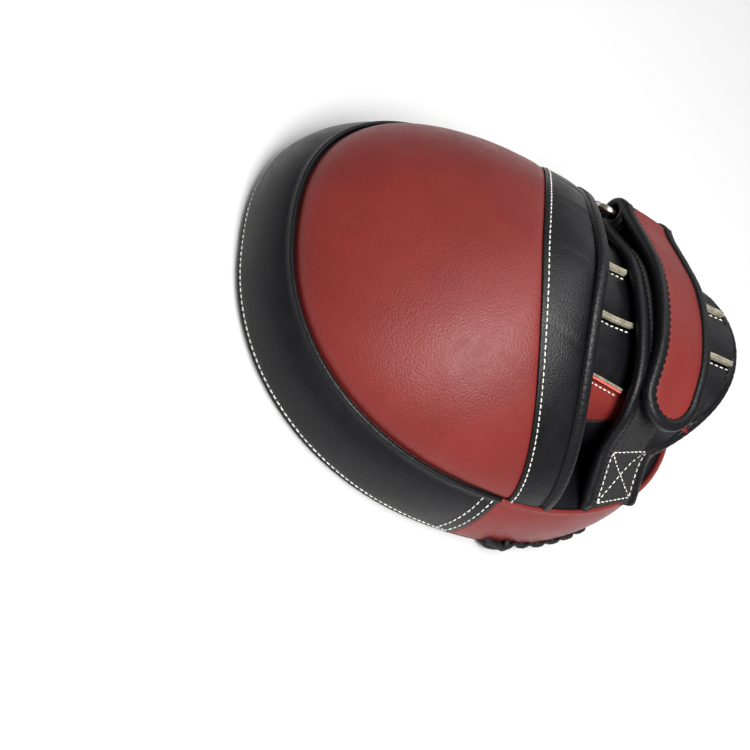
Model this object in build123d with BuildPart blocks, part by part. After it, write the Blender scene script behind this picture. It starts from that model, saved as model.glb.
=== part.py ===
"""Focus mitt: a domed hood over a five-panel glove back, on a thick padded striking board.

Millimetres. The mitt lies on its striking face: +Z up, +Y towards the fingertips, +X towards the
side that carries the strap ring. The origin is the middle of the striking face.
"""
from build123d import *
from math import cos, pi, sin
import os

os.makedirs("parts", exist_ok=True)

# ---- driving dimensions ---------------------------------------------------------------------
half_length = 130.0        # fingertip to wrist, halved
half_width = 99.6          # widest part, halved
roundness = 2.22           # exponent of the outline: 2 is an ellipse, more is squarer
egg = 0.06                 # the fingertip end is this much wider than the wrist end
seam_height = 38.2         # height of the seam between board and hood, at the middle
seam_slope = -0.0586       # the board is thicker at the wrist than at the fingertips
seam_inset = 8.2           # the side wall leans in by this much at the seam
leather = 1.6              # thickness of one ply of artificial leather
gap = 0.25                 # air kept between flat neighbours
air = 0.8                  # air kept between curved layers

hood_height = 77.5         # dome height over the seam, at the middle
hood_slope = -0.0738       # the dome is lower towards the fingertips
hood_power = 1.44          # exponent of the dome's section
mouth_y = 5.5              # hood mouth, at the crest
colour_seam_y = 34.7       # seam between the red hood and its black mouth band, at the crest
arc_drop = 54.8            # both arcs fall back this far over arc_reach
arc_reach = 98.0
binding_width = 7.0        # rolled edge of the hood mouth
hood_pad = 6.5             # foam under the hood's leather

glove_x = 4.0              # the hand pocket sits a little towards the ring side
glove_panel_x = (-34.0, -9.0, 20.0, 47.0)   # the four seams between the five panels
glove_front_y = 36.0       # the glove back ends here, inside the hood
cuff_y = -104.0            # start of the cuff binding
cuff_end_y = -110.0
fin_width = 3.0            # raw edges of the panel seams, standing up outside
fin_height = 2.6

ring_y = -61.5             # middle of the strap's tail and of the ring
bar_x = 70.0               # ring bar that the strap folds round
bar_z = 73.0
tab_bar_x = 79.0           # ring bar held by the tab
tab_bar_z = 58.5
ring_wire = 4.0
ring_length = 47.0
sleeve_inner = 4.3         # the strap's fold, round the ring bar
sleeve_outer = 8.0

base_y = -55.5             # middle of the sewn half of the strap
base_width = 43.0
base_roll = 7.0            # padded border of the sewn half
strap_core = 3.4
tape = 1.0
tail_width = 37.0
tail_roll = 6.0            # padded border of the tail
tail_tip_x = -50.0


def seam_z(y):
    """Height of the seam between board and hood."""
    return seam_height + seam_slope * y


def superellipse(length, width, count=10):
    """Egg-shaped superellipse round the origin, counter-clockwise."""
    points = []
    for step in range(count):
        turn = 2 * pi * (step + 0.5) / count
        across = abs(cos(turn)) ** (2 / roundness) * (1 if cos(turn) > 0 else -1)
        along = abs(sin(turn)) ** (2 / roundness) * (1 if sin(turn) > 0 else -1)
        points.append((width * across * (1 + egg * length * along / half_length), length * along))
    return points


def outline(length, width, height, slope):
    """The mitt's outline on a plane that rises by slope along Y."""
    plane = Plane(origin=(0, 0, height), x_dir=(1, 0, 0), z_dir=(0, -slope, 1))
    stretch = (1 + slope * slope) ** 0.5
    with BuildSketch(plane) as section:
        with BuildLine():
            Spline([(x, y * stretch) for x, y in superellipse(length, width)], periodic=True)
        make_face()
    return section.sketch


def board(skin):
    """Sections of the board, skin deep under its cover, from striking face to seam."""
    levels = ((0.0, 2.2), (0.2, 0.0), (0.6, 0.9), (1.0, seam_inset))
    return [
        outline(
            half_length - inset - skin,
            half_width - inset - skin,
            seam_height * level,
            seam_slope * level,
        )
        for level, inset in levels
    ]


def dome(skin):
    """Sections of the hood's dome, skin deep under its outside."""
    sections = []
    for level in (0.0, 0.3, 0.6, 0.83, 0.95, 0.995):
        reach = (1 - level**hood_power) ** (1 / hood_power)
        sections.append(
            outline(
                (half_length - seam_inset - skin) * reach,
                (half_width - seam_inset - skin) * reach,
                seam_height + gap + level * (hood_height - skin),
                seam_slope + level * hood_slope * (hood_height - skin) / hood_height,
            )
        )
    return sections


def arc_points(y):
    """Control points of the parabola through (0, y) that the hood's cross seams follow."""
    side = 1.15 * arc_reach
    drop = arc_drop * (side / arc_reach) ** 2
    return (-side, y - drop), (0, y + drop), (side, y - drop)


def hood_zone(back_y, front_y):
    """Plan of the part of the hood between two of its cross seams."""
    back = arc_points(back_y)
    front = arc_points(front_y)
    with BuildSketch() as zone:
        with BuildLine():
            Bezier(*back)
            Line(back[2], front[2])
            Bezier(*reversed(front))
            Line(front[0], back[0])
        make_face()
    return zone.sketch


def arch(skin):
    """Sections of the hand pocket's arch, skin deep under its outside."""
    stations = ((36.0, 52.0, 82.0), (0.0, 56.0, 87.0), (-56.0, 54.0, 91.5), (-112.0, 57.0, 99.0))
    sections = []
    for y, half, crest in stations:
        foot = seam_z(y) + gap
        with BuildSketch(Plane.XZ.offset(-y)) as section:
            with BuildLine() as wall:
                Spline([arch_point(half - skin, crest - skin, foot, step / 8) for step in range(9)])
                Line(wall.edges()[0] @ 1, wall.edges()[0] @ 0)
            make_face()
        sections.append(section.sketch)
    return sections


def arch_point(half, crest, foot, share):
    """A point of the arch, share of the way over it from the ring side."""
    turn = pi * share
    across = abs(cos(turn)) ** (2 / 2.2) * (1 if cos(turn) >= 0 else -1)
    return glove_x + half * across, foot + (crest - foot) * max(sin(turn), 0.0) ** (2 / 2.2)


def beside(points, distance):
    """The line through points, moved sideways to its left by distance."""
    moved = []
    last = len(points) - 1
    for i, (x, y) in enumerate(points):
        before = points[max(i - 1, 0)]
        after = points[min(i + 1, last)]
        dx = after[0] - before[0]
        dy = after[1] - before[1]
        size = (dx * dx + dy * dy) ** 0.5
        moved.append((x - distance * dy / size, y + distance * dx / size))
    return moved


def ribbon(plane, points, width):
    """A strip of even width along a smooth line."""
    with BuildSketch(plane) as strip:
        with BuildLine():
            line = Spline(points)
        trace(line, width)
    return strip.sketch


def tail_plan(inset):
    """Plan of the strap's tail with its round tip."""
    radius = tail_width / 2 - inset
    tip = tail_tip_x + tail_width / 2
    with BuildSketch() as plan:
        with Locations((tip, ring_y)):
            Circle(radius)
        with Locations(((tip + bar_x) / 2 + 5, ring_y)):
            Rectangle(bar_x - tip + 10, 2 * radius)
    return plan.sketch


# Side views (X, Z) of the two halves of the strap, from the ring to the far end.
base_line = [(60.0, 71.6), (53.0, 75.4), (43.5, 82.0), (29.0, 90.4), (11.6, 94.6), (-8.0, 95.6),
             (-24.0, 92.4), (-35.5, 84.0), (-44.6, 71.0), (-53.5, 58.6), (-64.0, 49.6), (-74.0, 46.6)]
tail_line = [(68.0, 79.4), (62.0, 82.3), (54.0, 86.2), (45.0, 90.6), (30.0, 97.2), (15.0, 100.8),
             (0.0, 102.0), (-15.0, 101.0), (-28.0, 96.9), (-38.0, 92.6), (-50.0, 88.6)]
# Plan (X, Y) of the sewn half: it turns towards the wrist before it reaches the board's edge.
base_plan = [(62.0, base_y), (30.0, base_y), (0.0, base_y - 1), (-30.0, base_y - 5),
             (-55.0, base_y - 13.5), (-76.0, base_y - 24)]

# ---- the padded board -----------------------------------------------------------------------
patch_radius = 46.0
face_ply = 2.4
edge_inset = 1.2           # rounded rim of the striking face
foam_top = 11.0

with BuildPart() as strike_face:
    extrude(outline(half_length - edge_inset, half_width - edge_inset, 0, 0), amount=face_ply)
    Cylinder(patch_radius + gap, 10, mode=Mode.SUBTRACT)
strike_face.part.label = "strike_face"

with BuildPart() as strike_patch:
    with BuildSketch():
        Circle(patch_radius)
    extrude(amount=face_ply)
strike_patch.part.label = "strike_patch"

with BuildPart() as impact_foam:
    loft(board(leather + air))
    split(bisect_by=Plane.XY.offset(face_ply + gap), keep=Keep.TOP)
    split(bisect_by=Plane.XY.offset(foam_top), keep=Keep.BOTTOM)
impact_foam.part.label = "impact_foam"

seam_normal = (0, -seam_slope, 1)
core_plane = Plane(origin=(0, 0, seam_height - leather - gap), x_dir=(1, 0, 0), z_dir=seam_normal)

with BuildPart() as board_core:
    loft(board(leather + air))
    split(bisect_by=Plane.XY.offset(foam_top + gap), keep=Keep.TOP)
    split(bisect_by=core_plane, keep=Keep.BOTTOM)
board_core.part.label = "board_core"

panel_inset = seam_inset + 0.8
with BuildPart() as back_panel:
    extrude(
        outline(
            half_length - panel_inset,
            half_width - panel_inset,
            seam_height - leather,
            seam_slope,
        ),
        amount=leather,
    )
back_panel.part.label = "back_panel"

# The side wall is one strip, black round the fingertips and red round the wrist.
side_seam_y = -8.0
with BuildPart() as side_wall:
    loft(board(0))
    loft(board(leather), mode=Mode.SUBTRACT)
    split(bisect_by=Plane.XY.offset(face_ply + gap), keep=Keep.TOP)
    split(bisect_by=core_plane, keep=Keep.BOTTOM)

with BuildPart() as side_wall_black:
    add(side_wall.part)
    split(bisect_by=Plane.XZ.offset(-side_seam_y - gap), keep=Keep.BOTTOM)
side_wall_black.part.label = "side_wall_black"

with BuildPart() as side_wall_red:
    add(side_wall.part)
    split(bisect_by=Plane.XZ.offset(-side_seam_y), keep=Keep.TOP)
side_wall_red.part.label = "side_wall_red"

# Black lace that draws the red wall over the striking face: short slanted stitches.
lace_radius = 1.0
lace_height = 3.8
lace_inset = 0.5
lace_count = 22
with BuildPart() as side_lace:
    for step in range(lace_count):
        turn = pi * (1.085 + 0.83 * step / (lace_count - 1))
        across = abs(cos(turn)) ** (2 / roundness) * (1 if cos(turn) > 0 else -1)
        along = -abs(sin(turn)) ** (2 / roundness)
        y = (half_length + lace_radius - lace_inset + gap) * along
        x = (half_width + lace_radius - lace_inset + gap) * across * (1 + egg * y / half_length)
        outward = Vector(x / half_width**2, y / half_length**2, 0).normalized()
        lie = Vector(-outward.Y, outward.X, 0.3)
        with Locations(Plane(origin=(x, y, lace_height), x_dir=outward, z_dir=lie)):
            Cylinder(lace_radius, 7.0)
side_lace.part.label = "side_lace"

# ---- the hood -------------------------------------------------------------------------------
foam_skin = leather + air
lining_skin = foam_skin + hood_pad + air
inside_skin = lining_skin + 1.2
beyond = 300.0
sky = 130.0

with BuildPart() as hood_shell:
    loft(dome(0))
    loft(dome(leather), mode=Mode.SUBTRACT)
    extrude(hood_zone(colour_seam_y + gap, beyond), amount=sky, mode=Mode.INTERSECT)
hood_shell.part.label = "hood_shell"

with BuildPart() as hood_band:
    loft(dome(0))
    loft(dome(leather), mode=Mode.SUBTRACT)
    extrude(hood_zone(mouth_y + binding_width + gap, colour_seam_y), amount=sky, mode=Mode.INTERSECT)
hood_band.part.label = "hood_band"

with BuildPart() as hood_foam:
    loft(dome(foam_skin))
    loft(dome(foam_skin + hood_pad), mode=Mode.SUBTRACT)
    extrude(hood_zone(mouth_y + binding_width + gap, beyond), amount=sky, mode=Mode.INTERSECT)
hood_foam.part.label = "hood_foam"

with BuildPart() as hood_lining:
    loft(dome(lining_skin))
    loft(dome(inside_skin), mode=Mode.SUBTRACT)
    extrude(hood_zone(mouth_y + binding_width + gap, beyond), amount=sky, mode=Mode.INTERSECT)
hood_lining.part.label = "hood_lining"

with BuildPart() as hood_binding:
    loft(dome(-0.8))
    loft(dome(inside_skin), mode=Mode.SUBTRACT)
    extrude(hood_zone(mouth_y, mouth_y + binding_width), amount=sky, mode=Mode.INTERSECT)
hood_binding.part.label = "hood_binding"

# ---- the glove back: lining, padding, five panels and their raw seams --------------------------
pad_skin = leather + air
glove_pad = 4.6
glove_lining_skin = pad_skin + glove_pad + air
pocket_skin = glove_lining_skin + 1.0


def arch_shell(outer_skin, inner_skin, front_y, back_y):
    """A layer of the glove back between two depths, cut off square at both ends."""
    with BuildPart() as layer:
        loft(arch(outer_skin))
        loft(arch(inner_skin), mode=Mode.SUBTRACT)
        split(bisect_by=Plane.XZ.offset(-front_y), keep=Keep.TOP)
        split(bisect_by=Plane.XZ.offset(-back_y), keep=Keep.BOTTOM)
    return layer.part


glove_leather = arch_shell(0, leather, glove_front_y, cuff_y + gap)
panel_names = ("glove_side_strap", "glove_back_strap", "glove_back_middle", "glove_back_ring", "glove_side_ring")
panel_edges = (-90.0, *glove_panel_x, 95.0)
glove_panels = []
for name, low, high in zip(panel_names, panel_edges, panel_edges[1:]):
    with BuildPart() as glove_panel:
        add(glove_leather)
        with Locations(((low + high) / 2, 0, 60)):
            Box(high - low - gap, 400, 200, mode=Mode.INTERSECT)
    glove_panel.part.label = name
    glove_panels.append(glove_panel.part)

with BuildPart() as glove_padding:
    add(arch_shell(pad_skin, pad_skin + glove_pad, glove_front_y, cuff_y + gap))
glove_padding.part.label = "glove_padding"

with BuildPart() as glove_lining:
    add(arch_shell(glove_lining_skin, pocket_skin, glove_front_y, cuff_y + gap))
glove_lining.part.label = "glove_lining"

with BuildPart() as glove_cuff_binding:
    add(arch_shell(-1.2, pocket_skin + 0.6, cuff_y, cuff_end_y))
glove_cuff_binding.part.label = "glove_cuff_binding"

# The strap presses the seams flat, so they stand up only between hood and strap, and at the cuff.
fin_spans = ((8.0, -32.0), (-84.5, -103.0))
with BuildPart() as glove_seam_edges:
    for front_y, back_y in fin_spans:
        add(arch_shell(-fin_height, -0.4, front_y, back_y))
    with Locations(*[(x, 0, 90) for x in glove_panel_x]):
        Box(fin_width, 400, 100, mode=Mode.INTERSECT)
glove_seam_edges.part.label = "glove_seam_edges"

# ---- inside the hand pocket -------------------------------------------------------------------
cushion_rise = 11.0
with BuildPart() as palm_cushion:
    with BuildSketch(Plane(origin=(0, 0, seam_height + gap), x_dir=(1, 0, 0), z_dir=seam_normal)):
        with Locations((glove_x, -50.0)):
            Ellipse(33.0, 42.0)
    extrude(amount=cushion_rise, taper=38)
palm_cushion.part.label = "palm_cushion"

bar_radius = 8.0
finger_bar_y = 20.0
with BuildPart() as finger_bar:
    with Locations(Plane(origin=(glove_x, finger_bar_y, seam_z(finger_bar_y) + bar_radius + 1.0), z_dir=(1, 0, 0))):
        Cylinder(bar_radius, 76.0)
    fillet(finger_bar.edges(), 5.0)
finger_bar.part.label = "finger_bar"

# ---- ring and tab -----------------------------------------------------------------------------
ring_drop = ((tab_bar_x - bar_x) ** 2 + (tab_bar_z - bar_z) ** 2) ** 0.5
ring_plane = Plane(
    origin=((bar_x + tab_bar_x) / 2, ring_y, (bar_z + tab_bar_z) / 2),
    x_dir=(0, 1, 0),
    z_dir=(bar_z - tab_bar_z, 0, tab_bar_x - bar_x),
)
with BuildPart() as strap_ring:
    with BuildLine(ring_plane):
        loop = FilletPolyline(
            (ring_length / 2, ring_drop / 2),
            (-ring_length / 2, ring_drop / 2),
            (-ring_length / 2, -ring_drop / 2),
            (ring_length / 2, -ring_drop / 2),
            radius=5.0,
            close=True,
        )
    with BuildSketch(Plane(origin=loop @ 0, z_dir=loop % 0)):
        Circle(ring_wire / 2)
    sweep(path=loop)
strap_ring.part.label = "strap_ring"

tab_width = 33.0
tab_sleeve = 5.2
with BuildPart() as ring_tab:
    with BuildSketch(Plane.XZ.offset(tab_width / 2 - ring_y)):
        with Locations((tab_bar_x, tab_bar_z)):
            Circle(tab_sleeve)
        with BuildLine():
            Polyline((75.5, 55.5), (72.5, 43.3), (83.5, 43.3), (82.8, 55.5), close=True)
        make_face()
        with Locations((tab_bar_x, tab_bar_z)):
            Circle(ring_wire / 2 + 0.35, mode=Mode.SUBTRACT)
    extrude(amount=-tab_width)
ring_tab.part.label = "ring_tab"

# ---- the sewn half of the strap -----------------------------------------------------------------
core_width = base_width - 2 * base_roll - 2 * gap
base_reach = 75.0


def base_layer(lift, thickness, aside, width):
    """A layer of the sewn half: lift over its middle line, aside from its middle in plan."""
    with BuildPart() as layer:
        side = ribbon(Plane.XZ.offset(25), beside(base_line, -lift), thickness)
        extrude(side, amount=base_reach)
        plan = ribbon(Plane.XY, beside(base_plan, -aside), width)
        extrude(plan, amount=sky, mode=Mode.INTERSECT)
    return layer.part


with BuildPart() as strap_base:
    add(base_layer(0, strap_core, 0, core_width))
strap_base.part.label = "strap_base"

with BuildPart() as loop_tape:
    add(base_layer(strap_core / 2 + gap + tape / 2, tape, 0, core_width))
loop_tape.part.label = "loop_tape"

with BuildPart() as strap_base_border:
    for aside in (-1, 1):
        add(base_layer(0.9, strap_core + 0.2, aside * (base_width - base_roll) / 2, base_roll))
strap_base_border.part.label = "strap_base_border"

# ---- the strap's tail, which swings about the ring bar --------------------------------------------
tail_side_y = ring_y + tail_width / 2


def tail_layer(lift, thickness, inset, x_from, x_to):
    """A layer of the tail: lift over its middle line, inset from its edge, between two places."""
    with BuildPart() as layer:
        side = ribbon(Plane.XZ.offset(-tail_side_y), beside(tail_line, -lift), thickness)
        extrude(side, amount=tail_width)
        extrude(tail_plan(inset), amount=sky, mode=Mode.INTERSECT)
        with Locations(((x_from + x_to) / 2, ring_y, 90)):
            Box(abs(x_to - x_from), 60, 80, mode=Mode.INTERSECT)
    return layer.part


tail_core = 2.4
panel_ply = 1.2
with BuildPart() as strap_tail:
    add(tail_layer(0, tail_core, tail_roll + gap, -60, 68))
    with BuildSketch(Plane.XZ.offset(-tail_side_y)):
        with Locations((bar_x, bar_z)):
            Circle(sleeve_outer)
            Circle(sleeve_inner, mode=Mode.SUBTRACT)
    extrude(amount=tail_width)
strap_tail.part.label = "strap_tail"

with BuildPart() as tail_panel:
    add(tail_layer(tail_core / 2 + gap + panel_ply / 2, panel_ply, tail_roll + gap, -60, 61))
tail_panel.part.label = "tail_panel"

with BuildPart() as hook_tape:
    add(tail_layer(-tail_core / 2 - gap - tape / 2, tape, tail_roll + 2, -42, 8))
hook_tape.part.label = "hook_tape"

with BuildPart() as tail_border:
    add(tail_layer(0.4, tail_core + 2.4, 0, -60, 60.5))
    extrude(tail_plan(tail_roll), amount=sky, mode=Mode.SUBTRACT)
tail_border.part.label = "tail_border"

for piece in (strike_face, strike_patch, impact_foam, board_core, back_panel, side_wall_black,
              side_wall_red, side_lace, hood_shell, hood_band, hood_foam, hood_lining, hood_binding,
              glove_padding, glove_lining, glove_cuff_binding, glove_seam_edges, palm_cushion,
              finger_bar, strap_ring, ring_tab, strap_base, loop_tape, strap_base_border,
              strap_tail, tail_panel, hook_tape, tail_border):
    export_step(piece.part, f"parts/{piece.part.label}.step")
for panel in glove_panels:
    export_step(panel, f"parts/{panel.label}.step")
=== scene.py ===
from math import cos, pi, sin

import bpy
import numpy as np
from mathutils import Matrix, Vector
from mathutils.bvhtree import BVHTree


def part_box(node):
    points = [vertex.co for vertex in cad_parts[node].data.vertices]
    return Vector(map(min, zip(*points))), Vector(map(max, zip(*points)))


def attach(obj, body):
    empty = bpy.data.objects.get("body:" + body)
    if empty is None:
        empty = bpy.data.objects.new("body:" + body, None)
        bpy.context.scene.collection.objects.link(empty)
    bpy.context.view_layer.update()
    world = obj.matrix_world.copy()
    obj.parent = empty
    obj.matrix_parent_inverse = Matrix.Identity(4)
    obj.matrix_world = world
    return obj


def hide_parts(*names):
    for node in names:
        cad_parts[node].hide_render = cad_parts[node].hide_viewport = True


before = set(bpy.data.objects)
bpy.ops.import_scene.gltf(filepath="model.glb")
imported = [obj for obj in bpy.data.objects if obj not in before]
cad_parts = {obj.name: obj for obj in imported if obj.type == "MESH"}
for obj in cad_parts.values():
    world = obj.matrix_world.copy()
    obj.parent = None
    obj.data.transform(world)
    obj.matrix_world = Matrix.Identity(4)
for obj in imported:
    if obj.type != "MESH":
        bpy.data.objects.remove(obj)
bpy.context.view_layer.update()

# ---- The padded board's side wall -----------------------------------------------------------
# One strip of artificial leather round the foam board, black at the fingertips, red at the wrist.
# It is sewn to the striking face below and to the hood above, and the foam pushes it outwards.
mm = 0.001
half_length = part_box("strike_face")[1][1] / mm + 1.2
half_width = 99.6
roundness = 2.22
egg = 0.06
seam_height = 38.2
seam_slope = -0.0586
seam_inset = 8.2
wall_join_y = -8.0
noise_seed = np.random.default_rng(7)


def seam_z(y):
    """Height in mm of the seam between board and hood."""
    return seam_height + seam_slope * y


def outline(turn, inset=0.0):
    """A point (x, y) of the mitt's egg-shaped outline, inset inwards, at an angle round it."""
    c, s = np.cos(turn), np.sin(turn)
    across = np.abs(c) ** (2 / roundness) * np.sign(c)
    y = (half_length - inset) * np.abs(s) ** (2 / roundness) * np.sign(s)
    x = (half_width - inset) * across * (1 + egg * y / half_length)
    return x, y


def even_turns(start, end, count, inset=0.0):
    """Angles between two places on the outline, an even walk apart."""
    fine = np.linspace(start, end, 2000)
    x, y = outline(fine, inset)
    walked = np.concatenate([[0], np.cumsum(np.hypot(np.diff(x), np.diff(y)))])
    return np.interp(np.linspace(0, walked[-1], count), walked, fine)


def ripple(a, b, waves):
    """Soft unevenness from -1 to 1 over a surface, from a few crossing waves."""
    total = 0
    for i in range(waves):
        ka, kb, phase = (np.sin(np.array([1.7, 3.1, 5.3]) * (i + 1) * 1.37) * [1.0, 1.0, 9.0])
        total = total + np.sin(a * ka * (i + 1) + b * kb * (i + 1) + phase) / (i + 1)
    return total / 2.0


def add_mesh(name, verts, faces):
    """A mesh object from points in mm."""
    mesh = bpy.data.meshes.new(name)
    mesh.from_pydata([tuple(v) for v in np.asarray(verts, float) * mm], [], faces)
    mesh.validate()
    mesh.update()
    for face in mesh.polygons:
        face.use_smooth = True
    piece = bpy.data.objects.new(name, mesh)
    bpy.context.scene.collection.objects.link(piece)
    return piece


def grid_mesh(name, grid, loop_columns=False):
    """A mesh over a grid of points (rows, columns, xyz)."""
    rows, columns = grid.shape[:2]
    faces = []
    for i in range(rows - 1):
        for j in range(columns if loop_columns else columns - 1):
            here, after = i * columns + j, i * columns + (j + 1) % columns
            faces.append((here, after, after + columns, here + columns))
    return add_mesh(name, grid.reshape(-1, 3), faces)


def thicken(piece, thickness, inside=(0.0, 0.0, 20.0)):
    """Turns a sheet's faces away from a point inside the object, and gives it its real thickness
    in mm under its outer face."""
    middle = Vector(inside) * mm
    facing = sum(face.normal.dot(face.center - middle) * face.area for face in piece.data.polygons)
    if facing < 0:
        piece.data.flip_normals()
    solid = piece.modifiers.new("ply", "SOLIDIFY")
    solid.thickness = thickness * mm
    solid.offset = -1
    solid.use_even_offset = False


def settle(piece, material, body, finish, *nodes):
    """Dresses a piece, seats it on its body and stands it in for its CAD nodes."""
    piece.data.materials.append(material)
    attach(piece, body)
    if nodes:
        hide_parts(*nodes)


def linear(hex_colour):
    """sRGB hex to the linear colour that shaders take."""
    parts = [int(hex_colour[i : i + 2], 16) / 255 for i in (1, 3, 5)]
    return [c / 12.92 if c <= 0.04045 else ((c + 0.055) / 1.055) ** 2.4 for c in parts] + [1.0]


def add_node(tree, kind, settings=None, **links):
    """Adds a shader node; settings are its properties or sockets, links join sockets to others."""
    node = tree.nodes.new(kind)
    for key, value in (settings or {}).items():
        if hasattr(node, key):
            setattr(node, key, value)
        else:
            node.inputs[key].default_value = value
    for key, source in links.items():
        tree.links.new(source, node.inputs[key.replace("_", " ")])
    return node


def new_material(name):
    """An empty material, its node tree and the piece's own coordinates."""
    material = bpy.data.materials.new(name)
    material.use_nodes = True
    tree = material.node_tree
    tree.nodes.clear()
    return material, tree, add_node(tree, "ShaderNodeTexCoord").outputs["Object"]


def two_tone(tree, source, first, second, low, high):
    """A colour that goes from first to second as the source goes from low to high."""
    ramp = add_node(tree, "ShaderNodeValToRGB", Fac=source)
    for element, colour, position in zip(ramp.color_ramp.elements, (first, second), (low, high)):
        element.color = linear(colour)
        element.position = position
    return ramp.outputs["Color"]


def leather(name, dark, light, grain_mm, roughness, bump):
    """Artificial leather: a PU skin embossed with a fine pebble grain, satin, its tone varying at
    random in broad soft patches between a darker and a paler colour."""
    material, tree, place = new_material(name)
    cloud = add_node(tree, "ShaderNodeTexNoise", {"Scale": 1 / (38 * mm), "Detail": 3.0}, Vector=place)
    cells = {"feature": "SMOOTH_F1", "Scale": 1 / (grain_mm * mm), "Smoothness": 0.6}
    grain = add_node(tree, "ShaderNodeTexVoronoi", cells, Vector=place)
    pores = add_node(tree, "ShaderNodeTexNoise", {"Scale": 1 / (0.35 * mm), "Detail": 4.0}, Vector=place)
    folds = {"Scale": 1 / (9 * mm), "Detail": 6.0, "Roughness": 0.62, "Distortion": 0.7}
    crease = add_node(tree, "ShaderNodeTexNoise", folds, Vector=place)
    mix = add_node(tree, "ShaderNodeMix", {"data_type": "RGBA", "clamp_factor": True})
    span = {"From Min": 0.25, "From Max": 0.8}
    share = add_node(tree, "ShaderNodeMapRange", span, Value=cloud.outputs["Fac"])
    tree.links.new(share.outputs[0], mix.inputs[0])
    mix.inputs[6].default_value = linear(dark)
    mix.inputs[7].default_value = linear(light)
    speck = add_node(tree, "ShaderNodeMix", {"data_type": "RGBA", "blend_type": "MULTIPLY"})
    speck.inputs[0].default_value = 0.22
    tree.links.new(mix.outputs[2], speck.inputs[6])
    tint = add_node(tree, "ShaderNodeValToRGB", Fac=grain.outputs["Distance"])
    tint.color_ramp.elements[0].color = (1, 1, 1, 1)
    tint.color_ramp.elements[1].color = (0.55, 0.52, 0.52, 1)
    tree.links.new(tint.outputs["Color"], speck.inputs[7])
    gloss = add_node(
        tree, "ShaderNodeMapRange",
        {"From Min": 0.3, "From Max": 0.7, "To Min": roughness - 0.05, "To Max": roughness + 0.07},
        Value=crease.outputs["Fac"],
    )
    first = add_node(tree, "ShaderNodeBump", {"Strength": bump, "Distance": 0.3 * mm, "invert": True},
                     Height=grain.outputs["Distance"])
    second = add_node(tree, "ShaderNodeBump", {"Strength": bump * 0.45, "Distance": 0.1 * mm},
                      Height=pores.outputs["Fac"], Normal=first.outputs[0])
    third = add_node(tree, "ShaderNodeBump", {"Strength": 0.11, "Distance": 0.5 * mm},
                     Height=crease.outputs["Fac"], Normal=second.outputs[0])
    skin = add_node(
        tree, "ShaderNodeBsdfPrincipled",
        {"IOR": 1.5, "Specular IOR Level": 0.28},
        Base_Color=speck.outputs[2], Roughness=gloss.outputs[0], Normal=third.outputs[0],
    )
    add_node(tree, "ShaderNodeOutputMaterial", Surface=skin.outputs[0])
    return material


red_leather = leather("red_pu_leather", "#6e2320", "#802b27", 0.85, 0.43, 0.42)
black_leather = leather("black_pu_leather", "#07070a", "#0e0e13", 0.85, 0.40, 0.42)


def wall_point(turn, level):
    """A point of the side wall; level goes from 0 at the striking face to 1 at the upper seam."""
    low = 2.4 * np.clip(1 - level / 0.2, 0, 1) ** 2
    high = seam_inset * np.clip((level - 0.2) / 0.8, 0, 1) ** 2.4
    x, y = outline(turn, low + high)
    pull = 0.25 * ripple(turn * 9, level * 3, 4)
    grow = 1 + pull * np.sin(pi * np.clip(level, 0, 1)) / 100
    return np.stack([x * grow, y * grow, 0.6 + (seam_z(y) - 0.6) * level], axis=-1)


def wall_grid(turns):
    """The side wall between two angles, with its edges turned in at both seams."""
    grid = np.stack([wall_point(turns, level) for level in np.linspace(0, 0.95, 26)])
    top = wall_point(turns, 1.0)
    ridge = ((-1.3, -0.9), (-1.7, 0.2), (-1.3, 1.1), (-0.5, 1.5), (0.3, 1.2), (0.8, 0.1), (1.1, -1.8))
    for inward, rise in ridge:
        row = top * [1 - inward / 90, 1 - inward / 120, 1]
        row[:, 2] += rise
        grid = np.concatenate([grid, row[None]])
    foot = grid[0].copy()
    for inward, rise in ((1.2, -0.35), (3.0, -0.2)):
        row = foot * [1 - inward / 100, 1 - inward / 125, 1]
        row[:, 2] = foot[:, 2] + rise
        grid = np.concatenate([row[None], grid])
    return grid


def turn_at(y):
    """The angle at which the outline passes y on the ring side."""
    fine = np.linspace(-pi / 2, pi / 2, 4000)
    return float(np.interp(y, outline(fine)[1], fine))


join = turn_at(wall_join_y)
black_wall = grid_mesh("side_wall_black_skin", wall_grid(even_turns(join, pi - join, 240)))
thicken(black_wall, 1.4)
settle(black_wall, black_leather, "root", "black_leather", "side_wall_black")
red_wall = grid_mesh("side_wall_red_skin", wall_grid(even_turns(pi - join, 2 * pi + join, 200)))
thicken(red_wall, 1.4)
settle(red_wall, red_leather, "root", "red_leather", "side_wall_red")

# ---- White stitching of the side wall ---------------------------------------------------------
# Thick bonded nylon thread, lock-stitched through the leather. Each stitch dives into its holes,
# so it shows as a short rounded bead, and the light catches its twist.
stitch_pitch = 3.0
stitch_length = 2.2
thread = 0.36


def thread_material(name, pale, deep):
    """Bonded nylon thread: fine twisted strands with a soft lustre, grubby in random patches."""
    material, tree, place = new_material(name)
    strands = {"Scale": 1 / (3.0 * mm), "Distortion": 1.5, "bands_direction": "DIAGONAL"}
    twist = add_node(tree, "ShaderNodeTexWave", strands, Vector=place)
    grime = add_node(tree, "ShaderNodeTexNoise", {"Scale": 1 / (6 * mm), "Detail": 4.0}, Vector=place)
    colour = two_tone(tree, grime.outputs["Fac"], deep, pale, 0.25, 0.6)
    bump = add_node(tree, "ShaderNodeBump", {"Strength": 0.5, "Distance": 0.1 * mm},
                    Height=twist.outputs["Fac"])
    skin = add_node(tree, "ShaderNodeBsdfPrincipled", {"Roughness": 0.62, "Specular IOR Level": 0.3},
                    Base_Color=colour, Normal=bump.outputs[0])
    add_node(tree, "ShaderNodeOutputMaterial", Surface=skin.outputs[0])
    return material


white_thread = thread_material("white_nylon_thread", "#f1eee6", "#b9b2a4")
black_thread = thread_material("black_nylon_thread", "#0b0b0c", "#040405")


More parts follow.
